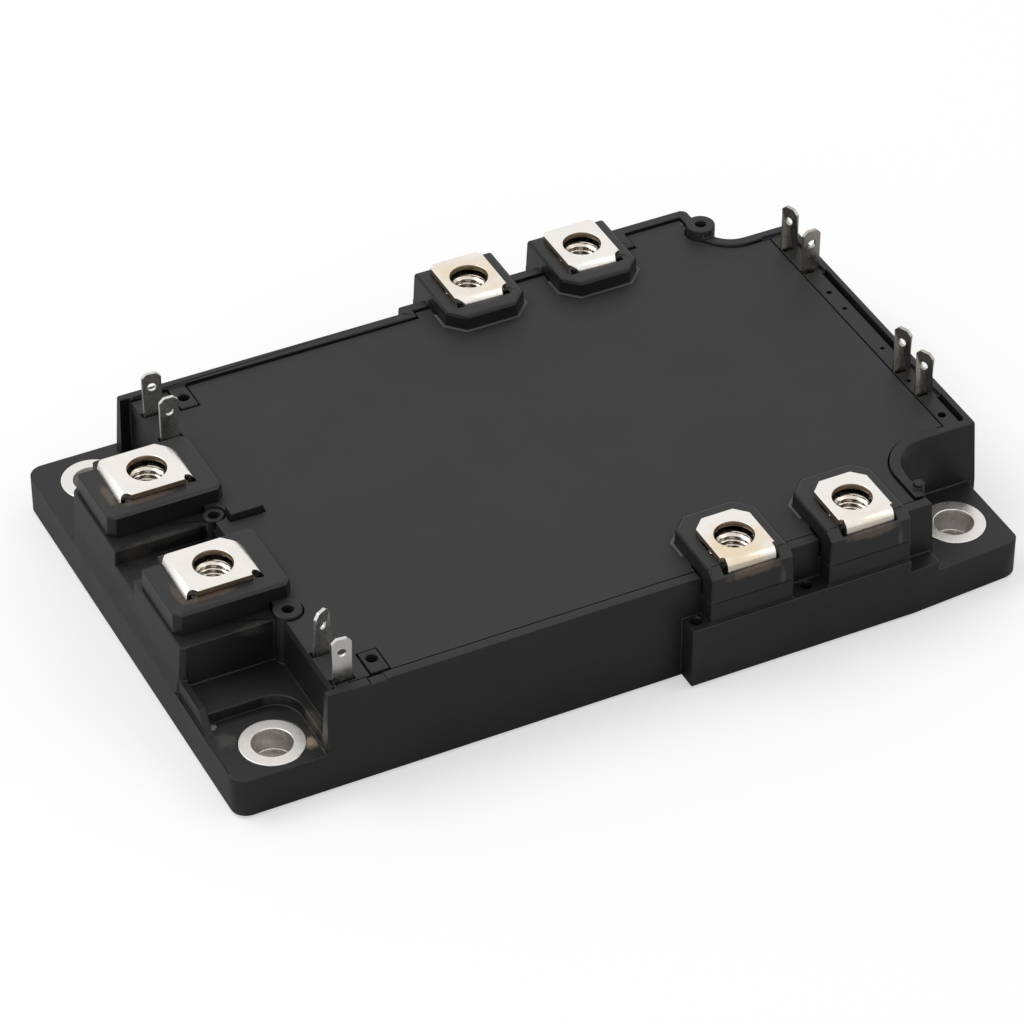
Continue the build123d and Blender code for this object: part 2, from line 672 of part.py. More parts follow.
def left_cap(terminal):
    """A cap on the left platform, reaching in over the lid; the plug holds the nut."""
    x0 = -CAP_LEFT_OUT
    x1 = CAP_LEFT_IN
    y0 = -CAP_LEFT_FRONT
    y1 = CAP_LEFT_BACK
    bevel = CAP_LEFT_BEVEL
    step_x = CAP_LEFT_STEP_X
    step_y = CAP_LEFT_STEP_Y
    face = outline([
        (x0 + bevel, y0), (x1 - bevel, y0), (x1, y0 + bevel), (x1, y1 - bevel), (x1 - bevel, y1),
        (x0 + step_x, y1), (x0 + step_x, y1 - step_y), (x0, y1 - step_y), (x0, y0 + bevel),
    ])
    cap = cap_block(face, PLATFORM_TOP)
    lid_edge = LID_LEFT_X - LID_GAP - TERMINAL_LEFT_X
    cap -= span(lid_edge, x1 + LAP, y0 - LAP, y1 + LAP, PLATFORM_TOP, LID_TOP)
    cap += span(-PLUG_LEFT_OUT, PLUG_LEFT_IN, -PLUG_HALF, PLUG_HALF, PLUG_BOTTOM, LID_TOP + LAP)
    cap -= nut_room(90)
    return cap - terminal


def terminal_nut(turn):
    """A hex nut with a plain bore, standing on the floor of its pocket."""
    hexagon = Rot(0, 0, turn) * RegularPolygon(NUT_AF / 2, 6, major_radius=False)
    nut = prism(hexagon, NUT_FLOOR, NUT_FLOOR + NUT_HEIGHT)
    return nut - rod(0, 0, NUT_BORE_R, 0, CAP_TOP + LAP)


def push_on_tab(y_in, reach):
    """A flat blade with a hole, standing on a foot that reaches over to the substrate."""
    half = TAB_WIDTH / 2
    top = LID_TOP + TAB_HEIGHT
    face = outline([
        (-half, TRACK_TOP), (half, TRACK_TOP), (half, top - TAB_TIP), (half - TAB_TIP, top),
        (-half + TAB_TIP, top), (-half, top - TAB_TIP),
    ])
    blade = extrude(Plane.XZ * face, amount=TAB_THICKNESS / 2, both=True)
    blade -= Pos(0, 0, top - TAB_HOLE_DROP) * Rot(90, 0, 0) * Cylinder(TAB_HOLE_R, 2 * LAP)
    y0 = -TAB_THICKNESS / 2 if y_in > 0 else -TAB_FOOT
    y1 = TAB_FOOT if y_in > 0 else TAB_THICKNESS / 2
    x0 = min(-half, reach)
    x1 = max(half, reach)
    return blade + span(x0, x1, y0, y1, TRACK_TOP, TRACK_TOP + TAB_THICKNESS)


def substrate(x):
    """One ceramic with its lower copper layer and its slotted upper copper layer."""
    y = SUBSTRATE_MID_Y
    half_x = SUBSTRATE_LENGTH / 2
    half_y = SUBSTRATE_WIDTH / 2
    inner_x = half_x - COPPER_MARGIN
    inner_y = half_y - COPPER_MARGIN
    ceramic = span(x - half_x, x + half_x, y - half_y, y + half_y, CERAMIC_BOTTOM, TRACK_BOTTOM)
    lower = span(x - inner_x, x + inner_x, y - inner_y, y + inner_y, BASE_THICKNESS, CERAMIC_BOTTOM)
    upper = span(x - inner_x, x + inner_x, y - inner_y, y + inner_y, TRACK_BOTTOM, TRACK_TOP)
    slot_x = x + (DIODE_X + DIODE_SIDE / 2 + WIRE_END_X) / 2
    upper -= span(
        slot_x, slot_x + TRACK_SLOT, y - inner_y, y + inner_y - TRACK_BRIDGE, TRACK_BOTTOM, TRACK_TOP,
    )
    return ceramic, lower, upper


def wire(x0, x1, y, low0, low1):
    """A bond wire between two pads along X."""
    rise = max(low0, low1) + WIRE_RISE
    lean = (x1 - x0) * WIRE_LEAN
    path = [(x0, low0), (x0 + lean, rise), (x1 - lean, rise), (x1, low1)]
    upper = [(px, pz + WIRE) for px, pz in path]
    face = outline(path + upper[::-1])
    return Pos(0, y, 0) * extrude(Plane.XZ * face, amount=WIRE / 2, both=True)


def inner_rows():
    """The middles of the chip rows on each substrate."""
    spots = []
    for side in (-0.5, 0.5):
        x = SUBSTRATE_MID_X + side * SUBSTRATE_PITCH
        for row in range(CHIP_ROWS):
            spots.append((x, SUBSTRATE_MID_Y + (row - (CHIP_ROWS - 1) / 2) * CHIP_PITCH))
    return spots


os.makedirs("parts", exist_ok=True)


def write(shape, name):
    """Write one piece under its own name."""
    shape.label = name
    export_step(shape, "parts/" + name + ".step")


# Terminals and tabs in place
terminals = {}
caps = {}
nuts = {}
for i, y in enumerate(TERMINAL_LEFT_Y):
    place = Pos(TERMINAL_LEFT_X, y, 0)
    terminals["left_%d" % (i + 1)] = place * left_terminal()
    caps["left_%d" % (i + 1)] = place * left_cap(left_terminal())
    nuts["left_%d" % (i + 1)] = place * terminal_nut(90)
for i, x in enumerate(TERMINAL_BACK_X):
    place = Pos(x, TERMINAL_BACK_Y, 0)
    lid_edge = TERMINAL_BACK_Y - (BACK_WALL_Y - RIM_WIDTH - LID_GAP)
    turned = Rot(0, 0, 180) * side_cap(
        TERMINAL_BACK_Y - HALF_W, CAP_BACK_SLOPE_LENGTH, CAP_BACK_SLOPE_DROP, lid_edge,
        Rot(0, 0, 180) * back_terminal(),
    )
    terminals["back_%d" % (i + 1)] = place * back_terminal()
    caps["back_%d" % (i + 1)] = place * turned
    nuts["back_%d" % (i + 1)] = place * terminal_nut(0)
for i, x in enumerate(TERMINAL_FRONT_X):
    place = Pos(x, TERMINAL_FRONT_Y, 0)
    lid_edge = -NARROW_FRONT + RIM_WIDTH + LID_GAP - TERMINAL_FRONT_Y
    terminals["front_%d" % (i + 1)] = place * front_terminal()
    caps["front_%d" % (i + 1)] = place * side_cap(
        -HALF_W + CAP_FRONT_SETBACK - TERMINAL_FRONT_Y, CAP_SLOPE_LENGTH, CAP_SLOPE_DROP, lid_edge,
        front_terminal(),
    )
    nuts["front_%d" % (i + 1)] = place * terminal_nut(0)
tabs = {}
for i, y in enumerate(TAB_LEFT_Y):
    tabs["left_%d" % (i + 1)] = Pos(TAB_LEFT_X, y, 0) * push_on_tab(-y, TAB_REACH_LEFT - TAB_LEFT_X)
for i, y in enumerate(TAB_RIGHT_Y):
    tabs["right_%d" % (i + 1)] = Pos(TAB_RIGHT_X, y, 0) * push_on_tab(-y, TAB_REACH_RIGHT - TAB_RIGHT_X)

# Inner pieces
layers = {}
for i, side in enumerate((-0.5, 0.5)):
    ceramic, lower, upper = substrate(SUBSTRATE_MID_X + side * SUBSTRATE_PITCH)
    layers["ceramic_%d" % (i + 1)] = ceramic
    layers["lower_copper_%d" % (i + 1)] = lower
    layers["upper_copper_%d" % (i + 1)] = upper
igbt_chips = Part()
diode_chips = Part()
bond_wires = Part()
for x, y in inner_rows():
    igbt_chips += Pos(x + IGBT_X, y, TRACK_TOP + CHIP / 2) * Box(IGBT_SIDE, IGBT_SIDE, CHIP)
    diode_chips += Pos(x + DIODE_X, y, TRACK_TOP + CHIP / 2) * Box(DIODE_SIDE, DIODE_SIDE, CHIP)
    bond_wires += wire(x + IGBT_X + IGBT_PAD, x + DIODE_X - DIODE_PAD, y, CHIP_TOP, CHIP_TOP)
    bond_wires += wire(x + DIODE_X + DIODE_PAD, x + WIRE_END_X, y, CHIP_TOP, TRACK_TOP)
thermistor = Pos(THERMISTOR_X, SUBSTRATE_MID_Y, TRACK_TOP + THERMISTOR_HEIGHT / 2) * Box(
    THERMISTOR_WIDTH, THERMISTOR_LENGTH, THERMISTOR_HEIGHT
)
face = inner_outline(WALL, LEFT_WALL_X + WALL, HALF_L - WALL)
gel = prism(face, BASE_THICKNESS, GEL_TOP)
for piece in list(layers.values()) + list(terminals.values()) + list(tabs.values()):
    gel -= piece
gel -= igbt_chips
gel -= diode_chips
gel -= bond_wires
gel -= thermistor

blocks = housing_blocks(housing(list(terminals.values()) + list(tabs.values())))
for key in blocks:
    write(blocks[key], key)
write(lid(), "lid")
write(baseplate(), "baseplate")
for name, x, y in MOUNT_HOLES:
    write(bushing(x, y), "bushing_" + name)
for key in terminals:
    write(terminals[key], "terminal_" + key)
    write(caps[key], "cap_" + key)
    write(nuts[key], "nut_" + key)
for key in tabs:
    write(tabs[key], "tab_" + key)
for key in layers:
    write(layers[key], key)
write(igbt_chips, "igbt_chips")
write(diode_chips, "diode_chips")
write(bond_wires, "bond_wires")
write(thermistor, "thermistor")
write(gel, "silicone_gel")
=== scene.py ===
import json
import math

import bmesh
import bpy
from mathutils import Matrix, Vector
from mathutils.bvhtree import BVHTree

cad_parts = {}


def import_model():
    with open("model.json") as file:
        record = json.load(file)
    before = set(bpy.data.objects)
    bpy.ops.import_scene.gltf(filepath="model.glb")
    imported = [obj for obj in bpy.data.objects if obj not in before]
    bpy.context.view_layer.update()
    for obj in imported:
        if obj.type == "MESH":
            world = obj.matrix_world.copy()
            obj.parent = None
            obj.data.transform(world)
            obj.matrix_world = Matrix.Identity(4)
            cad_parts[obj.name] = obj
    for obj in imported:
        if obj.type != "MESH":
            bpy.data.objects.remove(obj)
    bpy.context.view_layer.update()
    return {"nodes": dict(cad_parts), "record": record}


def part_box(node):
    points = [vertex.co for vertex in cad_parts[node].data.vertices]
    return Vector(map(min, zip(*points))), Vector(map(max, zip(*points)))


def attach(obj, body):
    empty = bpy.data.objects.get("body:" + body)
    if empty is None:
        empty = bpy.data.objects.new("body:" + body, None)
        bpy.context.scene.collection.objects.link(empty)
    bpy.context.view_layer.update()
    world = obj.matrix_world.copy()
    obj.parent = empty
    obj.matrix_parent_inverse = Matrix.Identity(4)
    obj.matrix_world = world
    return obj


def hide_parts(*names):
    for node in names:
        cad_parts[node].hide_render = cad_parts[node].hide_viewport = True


# Metres in a millimetre; lengths are in millimetres unless a comment says otherwise
MM = 0.001

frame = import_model()
nodes = frame["nodes"]
slots = {part["node"]: part["material_slot"] for part in frame["record"]["subparts"]}


# Camera: its place, its angles in degrees and its focal length in pixels of the photograph
EYE = (-223.18, -449.28, 409.36)
AZIMUTH = -26.32
ELEVATION = 38.95
FOCAL_LENGTH = 4642.67
PHOTO_WIDTH = 1024
SENSOR_WIDTH = 36.0


def camera():
    """The camera that took the photograph."""
    data = bpy.data.cameras.new("camera")
    data.sensor_width = SENSOR_WIDTH
    data.lens = SENSOR_WIDTH * FOCAL_LENGTH / PHOTO_WIDTH
    data.clip_start = 0.01
    data.clip_end = 20
    eye = bpy.data.objects.new("camera", data)
    eye.location = Vector(EYE) * MM
    eye.rotation_euler = (math.radians(90 - ELEVATION), 0, math.radians(AZIMUTH))
    bpy.context.scene.collection.objects.link(eye)
    bpy.context.scene.camera = eye


# Materials
class Shader:
    """A material under construction, with short calls for its nodes."""

    def __init__(self, name):
        self.material = bpy.data.materials.new(name)
        self.material.use_nodes = True
        self.tree = self.material.node_tree
        self.bsdf = self.tree.nodes["Principled BSDF"]

    def add(self, kind, **values):
        """A node, with its settings and the values of its inputs."""
        node = self.tree.nodes.new(kind)
        for key, value in values.items():
            if hasattr(node, key):
                setattr(node, key, value)
            else:
                node.inputs[key.replace("_", " ")].default_value = value
        return node

    def link(self, out, into):
        self.tree.links.new(out, into)
        return self

    def noise(self, scale, detail, rough):
        """Noise that stays with the piece. Its scale is in cells per metre."""
        node = self.add("ShaderNodeTexNoise", Scale=scale, Detail=detail, Roughness=rough)
        self.link(self.add("ShaderNodeTexCoord").outputs["Object"], node.inputs["Vector"])
        return node.outputs["Fac"]

    def ramp(self, value, *stops):
        """A value turned into a colour."""
        node = self.add("ShaderNodeValToRGB")
        ramp = node.color_ramp
        while len(ramp.elements) < len(stops):
            ramp.elements.new(0.5)
        for element, (pos, colour) in zip(ramp.elements, stops):
            element.position = pos
            element.color = (*colour, 1)
        self.link(value, node.inputs["Fac"])
        return node.outputs["Color"]

    def spread(self, value, low, high, a, b):
        """The span from low to high mapped to the span from a to b."""
        node = self.add("ShaderNodeMapRange")
        for key, number in (("From Min", low), ("From Max", high), ("To Min", a), ("To Max", b)):
            node.inputs[key].default_value = number
        self.link(value, node.inputs["Value"])
        return node.outputs["Result"]

    def math(self, kind, a, b):
        node = self.add("ShaderNodeMath", operation=kind)
        for value, socket in ((a, node.inputs[0]), (b, node.inputs[1])):
            if isinstance(value, (int, float)):
                socket.default_value = value
            else:
                self.link(value, socket)
        return node.outputs[0]

    def mix(self, factor, a, b):
        """Colour a turned into colour b by a factor."""
        node = self.tree.nodes.new("ShaderNodeMix")
        node.data_type = "RGBA"
        sockets = (node.inputs["Factor"], node.inputs[6], node.inputs[7])
        for value, socket in zip((factor, a, b), sockets):
            if isinstance(value, (int, float)):
                socket.default_value = value
            elif isinstance(value, tuple):
                socket.default_value = (*value, 1)
            else:
                self.link(value, socket)
        return node.outputs[2]

    def spot(self, place, radii, ragged=0.6, scale=900, soft=0.5):
        """1 near a place on the part, fading to 0 at its radii, with a ragged edge."""
        here = self.add("ShaderNodeTexCoord").outputs["Object"]
        away = self.add("ShaderNodeVectorMath", operation="SUBTRACT")
        away.inputs[1].default_value = [v * MM for v in place]
        self.link(here, away.inputs[0])
        sized = self.add("ShaderNodeVectorMath", operation="DIVIDE")
        sized.inputs[1].default_value = [v * MM for v in radii]
        self.link(away.outputs[0], sized.inputs[0])
        length = self.add("ShaderNodeVectorMath", operation="LENGTH")
        self.link(sized.outputs[0], length.inputs[0])
        rough = self.spread(self.noise(scale, 4, 0.65), 0.3, 0.7, -ragged / 2, ragged / 2)
        return self.spread(self.math("ADD", length.outputs["Value"], rough), 1.0, 1.0 - soft, 0.0, 1.0)

    def bump(self, height, strength, distance):
        """Fine relief, its depth in metres."""
        node = self.add("ShaderNodeBump", Strength=strength, Distance=distance)
        self.link(height, node.inputs["Height"])
        if self.bsdf.inputs["Normal"].is_linked:
            self.link(self.bsdf.inputs["Normal"].links[0].from_socket, node.inputs["Normal"])
        self.link(node.outputs["Normal"], self.bsdf.inputs["Normal"])
        return self

    def set(self, **values):
        for key, value in values.items():
            socket = self.bsdf.inputs[key.replace("_", " ")]
            if isinstance(value, tuple):
                socket.default_value = (*value, 1)
            elif isinstance(value, (int, float)):
                socket.default_value = value
            else:
                self.link(value, socket)
        return self


DUST = (0.075, 0.072, 0.068)
TARNISH = (0.62, 0.52, 0.38)
BLACK = (0.0105, 0.0105, 0.011)

# Scuffs, residue and chips: place, radii, colour and strength
HOUSING_MARKS = [
    ((-57.2, -25.4, 6.5), (0.75, 0.75, 0.5), (0.42, 0.37, 0.32), 0.7),
    ((-56.6, -28.6, 6.5), (1.6, 1.9, 0.5), (0.07, 0.068, 0.064), 0.6),
    ((-46.9, -33.6, 6.6), (1.2, 1.3, 1.2), (0.40, 0.31, 0.22), 0.9),
    ((-45.6, -31.2, 8.5), (1.4, 2.6, 2.6), (0.10, 0.085, 0.065), 0.6),
    ((-45.9, -35.6, 9.0), (0.8, 1.6, 3.2), (0.10, 0.085, 0.065), 0.5),
    ((44.6, -38.6, 6.0), (2.2, 1.2, 0.9), (0.09, 0.075, 0.06), 0.4),
    ((-56.0, 21.0, 12.0), (2.0, 2.0, 3.0), (0.10, 0.095, 0.085), 0.3),
    ((-55.0, 3.6, 14.0), (3.0, 1.2, 2.0), (0.11, 0.10, 0.09), 0.35),
    ((-48.0, -17.9, 14.2), (3.0, 0.8, 1.2), (0.06, 0.058, 0.054), 0.5),
    ((-50.5, 4.0, 14.6), (5.0, 1.2, 1.0), (0.07, 0.067, 0.062), 0.5),
    ((-48.0, 0.9, 12.6), (4.0, 1.6, 0.6), (0.06, 0.057, 0.052), 0.4),
]
LID_MARKS = [((45.0, 36.0, 15.8), (0.5, 0.9, 0.6), (0.32, 0.31, 0.30), 0.85)]
CAP_MARKS = [
    ((-55.8, 11.7, 18.2), (0.8, 2.9, 0.6), (0.13, 0.09, 0.06), 0.75),
    ((-51.4, 8.9, 18.2), (4.2, 0.7, 0.5), (0.12, 0.085, 0.055), 0.7),
    ((-55.6, -11.3, 18.2), (0.7, 2.6, 0.6), (0.11, 0.08, 0.055), 0.6),
    ((-51.6, -13.6, 18.2), (4.2, 0.7, 0.5), (0.12, 0.085, 0.055), 0.65),
    ((15.6, -39.3, 16.8), (4.4, 1.2, 0.9), (0.14, 0.10, 0.07), 0.8),
    ((33.6, -39.3, 16.8), (4.4, 1.2, 0.9), (0.13, 0.10, 0.075), 0.7),
    ((19.9, -39.2, 14.2), (0.5, 0.6, 2.0), (0.09, 0.088, 0.085), 0.5),
    ((37.9, -39.2, 14.2), (0.5, 0.6, 2.2), (0.10, 0.098, 0.094), 0.5),
    ((9.1, 28.9, 18.2), (3.6, 0.5, 0.5), (0.08, 0.06, 0.045), 0.5),
    ((27.2, 28.9, 18.2), (3.6, 0.5, 0.5), (0.08, 0.06, 0.045), 0.5),
]


# Sizes of the textures, in cells per metre
PATCH_CELLS = 70
GRAIN_CELLS = 3200
DUST_CELLS = 5200
TARNISH_CELLS = 160
BRUSH_CELLS = 1500
WARMTH_CELLS = 250
PLAIN_CELLS = 300

# Depths of the fine relief, in metres
GRAIN_DEPTH = 0.00004
BRUSH_DEPTH = 0.00003
PLAIN_DEPTH = 0.00005


def moulded(name, colour, roughness, specular, grain, patches=0.3, marks=(), dust=0.0):
    """Moulded plastic: fine grain, soft patches of gloss, faint dust and a few marks."""
    s = Shader(name)
    cloud = s.noise(PATCH_CELLS, 4, 0.6)
    fine = s.noise(GRAIN_CELLS, 2, 0.6)
    speck = s.noise(DUST_CELLS, 1, 0.4)
    dark = tuple(c * (1 - patches) for c in colour)
    light = tuple(c * (1 + patches) for c in colour)
    base = s.ramp(cloud, (0.3, dark), (0.7, light))
    if dust:
        base = s.mix(s.spread(speck, 0.66, 0.8, 0.0, dust), base, DUST)
    for place, radii, tint, strength in marks:
        base = s.mix(s.math("MULTIPLY", s.spot(place, radii), strength), base, tint)
    s.set(Base_Color=base)
    s.set(Roughness=s.spread(cloud, 0.3, 0.7, roughness - 0.05, roughness + 0.06))
    s.set(Specular_IOR_Level=specular)
    s.bump(fine, grain, GRAIN_DEPTH)
    return s.material


def plated(name, colour, roughness, grain=0.05, stain=0.15, warm=()):
    """Plated sheet metal: a fine grain, faint tarnish and warm places."""
    s = Shader(name)
    cloud = s.noise(TARNISH_CELLS, 4, 0.6)
    fine = s.noise(BRUSH_CELLS, 2, 0.6)
    base = s.mix(s.spread(cloud, 0.5, 0.8, 0.0, stain), colour, TARNISH)
    for place, radii, shade, strength in warm:
        spot = s.spot(place, radii, 0.8, WARMTH_CELLS, 0.6)
        base = s.mix(s.math("MULTIPLY", spot, strength), base, shade)
    s.set(Base_Color=base)
    s.set(Roughness=s.spread(fine, 0.3, 0.7, roughness - 0.05, roughness + 0.07))
    s.set(Metallic=1.0)
    s.bump(fine, grain, BRUSH_DEPTH)
    return s.material


def plain(name, colour, roughness, metallic=0.0):
    """One even tone, for the pieces inside."""
    s = Shader(name)
    cloud = s.noise(PLAIN_CELLS, 3, 0.5)
    dark = tuple(c * 0.9 for c in colour)
    s.set(Base_Color=s.ramp(cloud, (0.3, dark), (0.7, colour)))
    s.set(Roughness=roughness, Metallic=metallic)
    s.bump(cloud, 0.1, PLAIN_DEPTH)
    return s.material


# Warm tones on the terminal plates: place, radii, colour and strength
WARM = (0.80, 0.66, 0.46)
BRONZE = (0.42, 0.33, 0.22)
PLATE_WARMTH = [
    ((14.3, -36.0, 19.0), (6.5, 5.5, 5.0), WARM, 0.85),
    ((9.1, 34.0, 19.0), (6.0, 6.0, 5.0), WARM, 0.7),
    ((33.3, -38.0, 17.5), (6.0, 3.0, 3.0), WARM, 0.4),
    ((15.3, -38.9, 15.8), (5.0, 1.2, 1.3), BRONZE, 0.8),
    ((33.3, -38.9, 15.8), (5.0, 1.2, 1.2), BRONZE, 0.6),
]

# Second materials: the right tabs, the foot lines of the caps, whose lighter grey is partly dust and partly
# a painted highlight, and the sheared edges of the plates
dull_tab = plated("dull_tab_metal", (0.44, 0.41, 0.37), 0.3, 0.01)
# Lighter grey of the caps' foot lines: partly dust, partly a painted highlight
foot_dust_and_highlight = moulded("foot_dust_and_highlight_plastic", (0.10, 0.10, 0.10), 0.5, 0.4, 0.05)
cut_edge = plated("cut_edge", (0.36, 0.29, 0.21), 0.38, 0.04)

# One material for each slot
looks = {
    "housing_black": moulded("housing_plastic", BLACK, 0.42, 0.35, 0.12, marks=HOUSING_MARKS, dust=0.25),
    "cap_black": moulded("cap_plastic", BLACK, 0.36, 0.4, 0.10, marks=CAP_MARKS, dust=0.2),
    "lid_grey": moulded("lid_plastic", (0.0205, 0.0205, 0.021), 0.55, 0.35, 0.35, 0.06, LID_MARKS, 0.12),
    "nickel": plated("nickel_plate", (0.85, 0.82, 0.78), 0.27, 0.03, warm=PLATE_WARMTH),
    "ring_metal": plated("ring_metal", (0.80, 0.775, 0.74), 0.3, 0.004, stain=0.08),
    "nut_steel": plated("nut_metal", (0.72, 0.66, 0.58), 0.22),
    "tab_tin": plated("tab_metal", (0.66, 0.65, 0.63), 0.3, 0.01),
    "ceramic": plain("ceramic", (0.85, 0.84, 0.8), 0.6),
    "copper": plain("copper", (0.8, 0.45, 0.3), 0.35, 1.0),
    "silicon": plain("silicon", (0.15, 0.15, 0.17), 0.2),
    "aluminium_wire": plain("wire_metal", (0.85, 0.85, 0.85), 0.3, 1.0),
    "sensor": plain("sensor_body", (0.1, 0.2, 0.12), 0.5),
    "gel": plain("gel", (0.75, 0.75, 0.77), 0.15),
}


# Tolerances of the mesh work, in metres and degrees
WELD = 1e-6
FLAT_WELD = 2e-6
SHORT_EDGE = 5e-6
FLAT_ANGLE = 1.5

# Rounded edges: segments, the least angle of an edge in degrees, and how far the rounding may stray from
# the unrounded form, as a share of its width
EDGE_SEGMENTS = 2
EDGE_ANGLE = 35
EDGE_STRAY = 0.45


# Pieces
def new_piece(name, mesh):
    piece = bpy.data.objects.new(name, mesh)
    bpy.context.scene.collection.objects.link(piece)
    return piece


def welded(node):
    """A copy of a CAD solid's mesh with its faces joined along their edges."""
    mesh = nodes[node].data.copy()
    form = bmesh.new()
    form.from_mesh(mesh)
    bmesh.ops.remove_doubles(form, verts=form.verts, dist=WELD)
    form.to_mesh(mesh)
    form.free()
    return mesh


def settle(piece):
    """The piece's modifiers applied to its mesh."""
    bpy.context.view_layer.update()
    made = piece.evaluated_get(bpy.context.evaluated_depsgraph_get())
    solid = bpy.data.meshes.new_from_object(made)
    piece.modifiers.clear()
    piece.data = solid


def combined(piece, others, operation):
    """The piece joined with, or cut by, each of the other meshes."""
    tools = []
    for i, mesh in enumerate(others):
        tool = new_piece("tool_%d" % i, mesh)
        step = piece.modifiers.new("step_%d" % i, "BOOLEAN")
        step.operation = operation
        step.solver = "EXACT"
        step.object = tool
        tools.append(tool)
    settle(piece)
    for tool in tools:
        bpy.data.objects.remove(tool)


def merge_flat(mesh, split=True):
    """Flat faces merged, so that only real edges are left, and split into triangles again."""
    form = bmesh.new()
    form.from_mesh(mesh)
    bmesh.ops.remove_doubles(form, verts=form.verts, dist=FLAT_WELD)
    bmesh.ops.dissolve_degenerate(form, dist=SHORT_EDGE, edges=form.edges)
    bmesh.ops.dissolve_limit(
        form, angle_limit=math.radians(FLAT_ANGLE), use_dissolve_boundaries=False,
        verts=form.verts, edges=form.edges,
    )
    if split:
        bmesh.ops.triangulate(form, faces=form.faces)
    form.to_mesh(mesh)
    form.free()


def sliced(mesh, place, normal):
    """New edges where a plane crosses the mesh."""
    form = bmesh.new()
    form.from_mesh(mesh)
    everything = list(form.verts) + list(form.edges) + list(form.faces)
    point = [v * MM for v in place]
    bmesh.ops.bisect_plane(form, geom=everything, plane_co=point, plane_no=normal, dist=WELD)
    form.to_mesh(mesh)
    form.free()


def round_edges(piece, width):
    """Edges rounded as moulding or stamping leaves them, and never far from the unrounded form."""
    width *= MM
    form = piece.data
    faces = [face.vertices[:] for face in form.polygons]
    surface = BVHTree.FromPolygons([v.co for v in form.vertices], faces)
    box = [(min(values), max(values)) for values in zip(*(v.co for v in form.vertices))]
    rounding = piece.modifiers.new("edges", "BEVEL")
    rounding.width = width
    rounding.segments = EDGE_SEGMENTS
    rounding.limit_method = "ANGLE"
    rounding.angle_limit = math.radians(EDGE_ANGLE)
    rounding.harden_normals = True
    rounding.use_clamp_overlap = False
    settle(piece)
    for vert in piece.data.vertices:
        nearest, _, _, away = surface.find_nearest(vert.co)
        place = nearest if away > EDGE_STRAY * width else vert.co
        vert.co = [min(high, max(low, value)) for value, (low, high) in zip(place, box)]


def dress(piece, slot, *replaced):
    """The piece's material, picked by its slot, its body, and the CAD nodes it stands for, hidden."""
    piece.data.materials.clear()
    piece.data.materials.append(looks[slot])
    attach(piece, "root")
    if replaced:
        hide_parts(*replaced)


def bevelled(node, slot, width, cuts=(), fills=()):
    """A copy of a CAD solid with small cuts and fillings and rounded edges, in the solid's place."""
    piece = new_piece(node + "_dressed", welded(node))
    if fills:
        combined(piece, fills, "UNION")
    if cuts:
        combined(piece, cuts, "DIFFERENCE")
    merge_flat(piece.data, slot != "nickel")
    round_edges(piece, width)
    dress(piece, slot, node)
    return piece


def from_form(name, form):
    """A mesh made from a form under construction."""
    mesh = bpy.data.meshes.new(name)
    bmesh.ops.recalc_face_normals(form, faces=form.faces)
    form.to_mesh(mesh)
    form.free()
    return mesh


def drum(x, y, z0, z1, radius, sides=24):
    """An upright round bar."""
    form = bmesh.new()
    place = Matrix.Translation(Vector((x, y, (z0 + z1) / 2)) * MM)
    bmesh.ops.create_cone(
        form, cap_ends=True, segments=sides, radius1=radius * MM, radius2=radius * MM,
        depth=(z1 - z0) * MM, matrix=place,
    )
    return from_form("drum", form)


def block(x0, x1, y0, y1, z0, z1):
    """A rectangular block."""
    form = bmesh.new()
    size = Matrix.Diagonal(Vector((x1 - x0, y1 - y0, z1 - z0)) * MM).to_4x4()
    place = Matrix.Translation(Vector((x0 + x1, y0 + y1, z0 + z1)) * MM / 2)
    bmesh.ops.create_cube(form, size=1, matrix=place @ size)
    return from_form("block", form)


def prism(outline, z0, z1):
    """An upright bar with a given outline."""
    form = bmesh.new()
    low = [form.verts.new(Vector((x, y, z0)) * MM) for x, y in outline]
    high = [form.verts.new(Vector((x, y, z1)) * MM) for x, y in outline]
    form.faces.new(low)
    form.faces.new(high)
    for i in range(len(outline)):
        j = (i + 1) % len(outline)
        form.faces.new((low[i], low[j], high[j], high[i]))
    return from_form("prism", form)


# Threaded nuts: heights, half the width across flats, radii, and the steps of the mesh
NUT_BOTTOM = 14.05
NUT_TOP = 17.55
NUT_HALF = 3.5
NUT_CHAMFER = 0.35
NUT_CHAMFER_IN = 0.05
THREAD_PITCH = 0.8
THREAD_IN = 2.1
THREAD_OUT = 2.53
THREAD_ROOT_SHARE = 0.2
THREAD_FLANK_SHARE = 0.62
THREAD_SHARP_ANGLE = 38
MOUTH = 2.5
AROUND = 72
ROWS_PER_TURN = 10


def thread_radius(z, turn):
    """The bore's radius at a height and a share of a turn."""
    phase = (z / THREAD_PITCH - turn) % 1.0
    flank = min(1.0, max(0.0, (abs(phase - 0.5) * 2 - THREAD_ROOT_SHARE) / THREAD_FLANK_SHARE))
    radius = THREAD_OUT - (THREAD_OUT - THREAD_IN) * flank
    mouth = THREAD_IN + max(0.0, z - (NUT_TOP - (MOUTH - THREAD_IN)))
    return max(radius, mouth)


